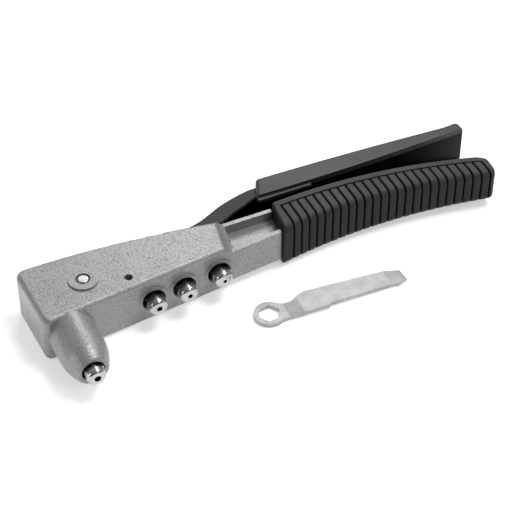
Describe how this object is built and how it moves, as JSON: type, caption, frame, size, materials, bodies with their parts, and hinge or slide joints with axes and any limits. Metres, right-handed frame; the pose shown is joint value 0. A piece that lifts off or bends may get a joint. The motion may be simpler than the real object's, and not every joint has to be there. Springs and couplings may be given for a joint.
{
  "type": "hand riveter",
  "caption": "Plier-type hand riveter with ribbed fixed handle, swinging lever, pulling jaws, stored nosepieces and a flat spanner.",
  "frame": {"origin": "centre of the fitted nosepiece's front face, on the nose axis", "axes": "-Y out of the nose, +X from the head to the handle ends, +Z out of the upper side of the tool as it lies"},
  "size_m": [0.263, 0.088, 0.0285],
  "materials": {
    "hammered_casting": "hammered silver-grey enamel",
    "ribbed_grip": "satin charcoal moulding",
    "bright_steel": "bright turned",
    "dark_steel": "black oxide",
    "polished_steel": "polished and plated",
    "black_steel": "satin black",
    "black_sleeve": "satin black moulding",
    "oiled_steel": "oiled, turned",
    "zinc_plate": "bright zinc plate"
  },
  "bodies": {
    "frame": {"body_casting": "hammered_casting", "handle_grip": "ribbed_grip", "pivot_pin": "bright_steel", "pin_retaining_ring": "dark_steel", "pivot_washers": "bright_steel"},
    "lever": {"lever_channel": "black_steel", "lever_sleeve": "black_sleeve", "pivot_spacer": "bright_steel"},
    "puller": {"jaw_case": "oiled_steel", "lock_nut": "oiled_steel", "pull_collar": "oiled_steel", "jaw_spring": "bright_steel"},
    "jaws": {"jaw_left": "dark_steel", "jaw_right": "dark_steel", "jaw_pusher": "oiled_steel"},
    "nosepiece_fitted": {"fitted_nosepiece": "polished_steel"},
    "nosepiece_spare_4_0": {"spare_nosepiece_4_0mm": "polished_steel"},
    "nosepiece_spare_3_2": {"spare_nosepiece_3_2mm": "polished_steel"},
    "nosepiece_spare_2_4": {"spare_nosepiece_2_4mm": "polished_steel"},
    "spanner": {"spanner": "zinc_plate"}
  },
  "joints": [
    {"name": "lever_pivot", "type": "hinge", "parent": "frame", "child": "lever", "pos_m": [0.0142, 0.0532, 0], "axis": [0, 0, 1], "range_deg": [0, 36]},
    {"name": "puller_slide", "type": "slide", "parent": "frame", "child": "puller", "axis": [0, -1, 0], "range_m": [0, 0.0088]},
    {"name": "jaw_slide", "type": "slide", "parent": "puller", "child": "jaws", "axis": [0, 1, 0], "range_m": [0, 0.002], "stiffness_N_per_m": 600, "springref_m": -0.002, "deforming": ["jaw_spring"]},
    {"name": "unscrew_fitted", "type": "slide", "parent": "frame", "child": "nosepiece_fitted", "axis": [0, -1, 0], "range_m": [0, 0.02]},
    {"name": "unscrew_spare_4_0", "type": "slide", "parent": "frame", "child": "nosepiece_spare_4_0", "axis": [0, -1, 0], "range_m": [0, 0.02]},
    {"name": "unscrew_spare_3_2", "type": "slide", "parent": "frame", "child": "nosepiece_spare_3_2", "axis": [0, -1, 0], "range_m": [0, 0.02]},
    {"name": "unscrew_spare_2_4", "type": "slide", "parent": "frame", "child": "nosepiece_spare_2_4", "axis": [0, -1, 0], "range_m": [0, 0.02]},
    {"name": "spanner_lift", "type": "slide", "parent": "frame", "child": "spanner", "axis": [0, 0, 1], "range_m": [0, 0.05]}
  ],
  "couplings": [
    {"joint": "puller_slide", "follows": "lever_pivot", "m_per_rad": 0.013968}
  ]
}
